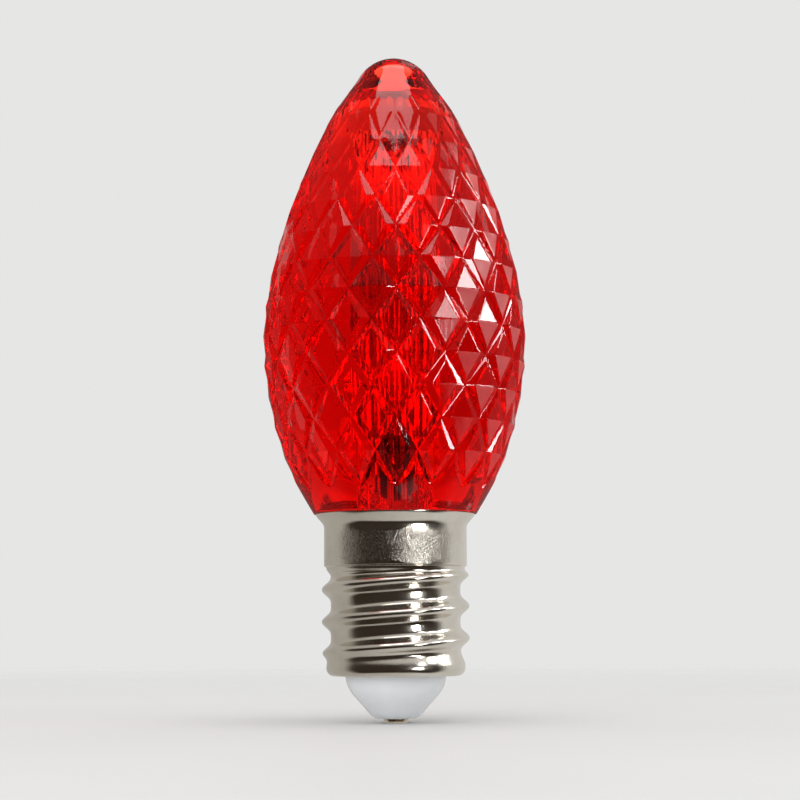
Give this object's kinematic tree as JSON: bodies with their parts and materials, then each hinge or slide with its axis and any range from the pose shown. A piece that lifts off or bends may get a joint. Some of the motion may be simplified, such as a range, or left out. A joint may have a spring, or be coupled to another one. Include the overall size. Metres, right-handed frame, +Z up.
{
  "type": "led replacement bulb",
  "caption": "Candle-shaped LED replacement bulb with a faceted red lens, a nickel-plated screw shell, a white insulator and a centre contact.",
  "frame": {"origin": "centre of the flat on the centre contact", "axes": "+Z up along the lamp axis from the contact to the tip of the lens, -Y the front"},
  "size_m": [0.0212, 0.0212, 0.0537],
  "materials": {
    "red_lens": "clear red plastic, polished facets",
    "cement": "cured adhesive",
    "nickel_plate": "bright nickel plate",
    "white_plastic": "glossy white plastic",
    "plated_contact": "worn plated brass",
    "solder": "bright solder",
    "tinned_wire": "tinned copper",
    "wire_sleeve": "woven sleeve",
    "circuit_board": "solder mask",
    "dark_plastic": "moulded dark plastic",
    "tinned_lead": "tinned steel",
    "semiconductor": "polished chip",
    "clear_epoxy": "clear epoxy",
    "capacitor_can": "drawn aluminium",
    "resistor_ceramic": "coated ceramic"
  },
  "bodies": {
    "root": {"faceted_lens": "red_lens", "lens_cement": "cement", "screw_shell": "nickel_plate", "insulator": "white_plastic", "centre_contact": "plated_contact", "contact_solder": "solder", "contact_wire": "tinned_wire", "contact_sleeve": "wire_sleeve", "driver_board": "circuit_board", "lamp_board": "circuit_board", "diode_holder": "dark_plastic", "anvil_lead": "tinned_lead", "post_lead": "tinned_lead", "diode_chip": "semiconductor", "diode_body": "clear_epoxy", "lead_solder_1": "solder", "lead_solder_2": "solder", "bridge_rectifier": "dark_plastic", "smoothing_capacitor": "capacitor_can", "capacitor_leads": "tinned_lead", "dropping_resistor_1": "resistor_ceramic", "dropping_resistor_2": "resistor_ceramic", "shell_wire": "tinned_wire", "shell_solder": "solder", "board_solder": "solder"}
  },
  "joints": []
}
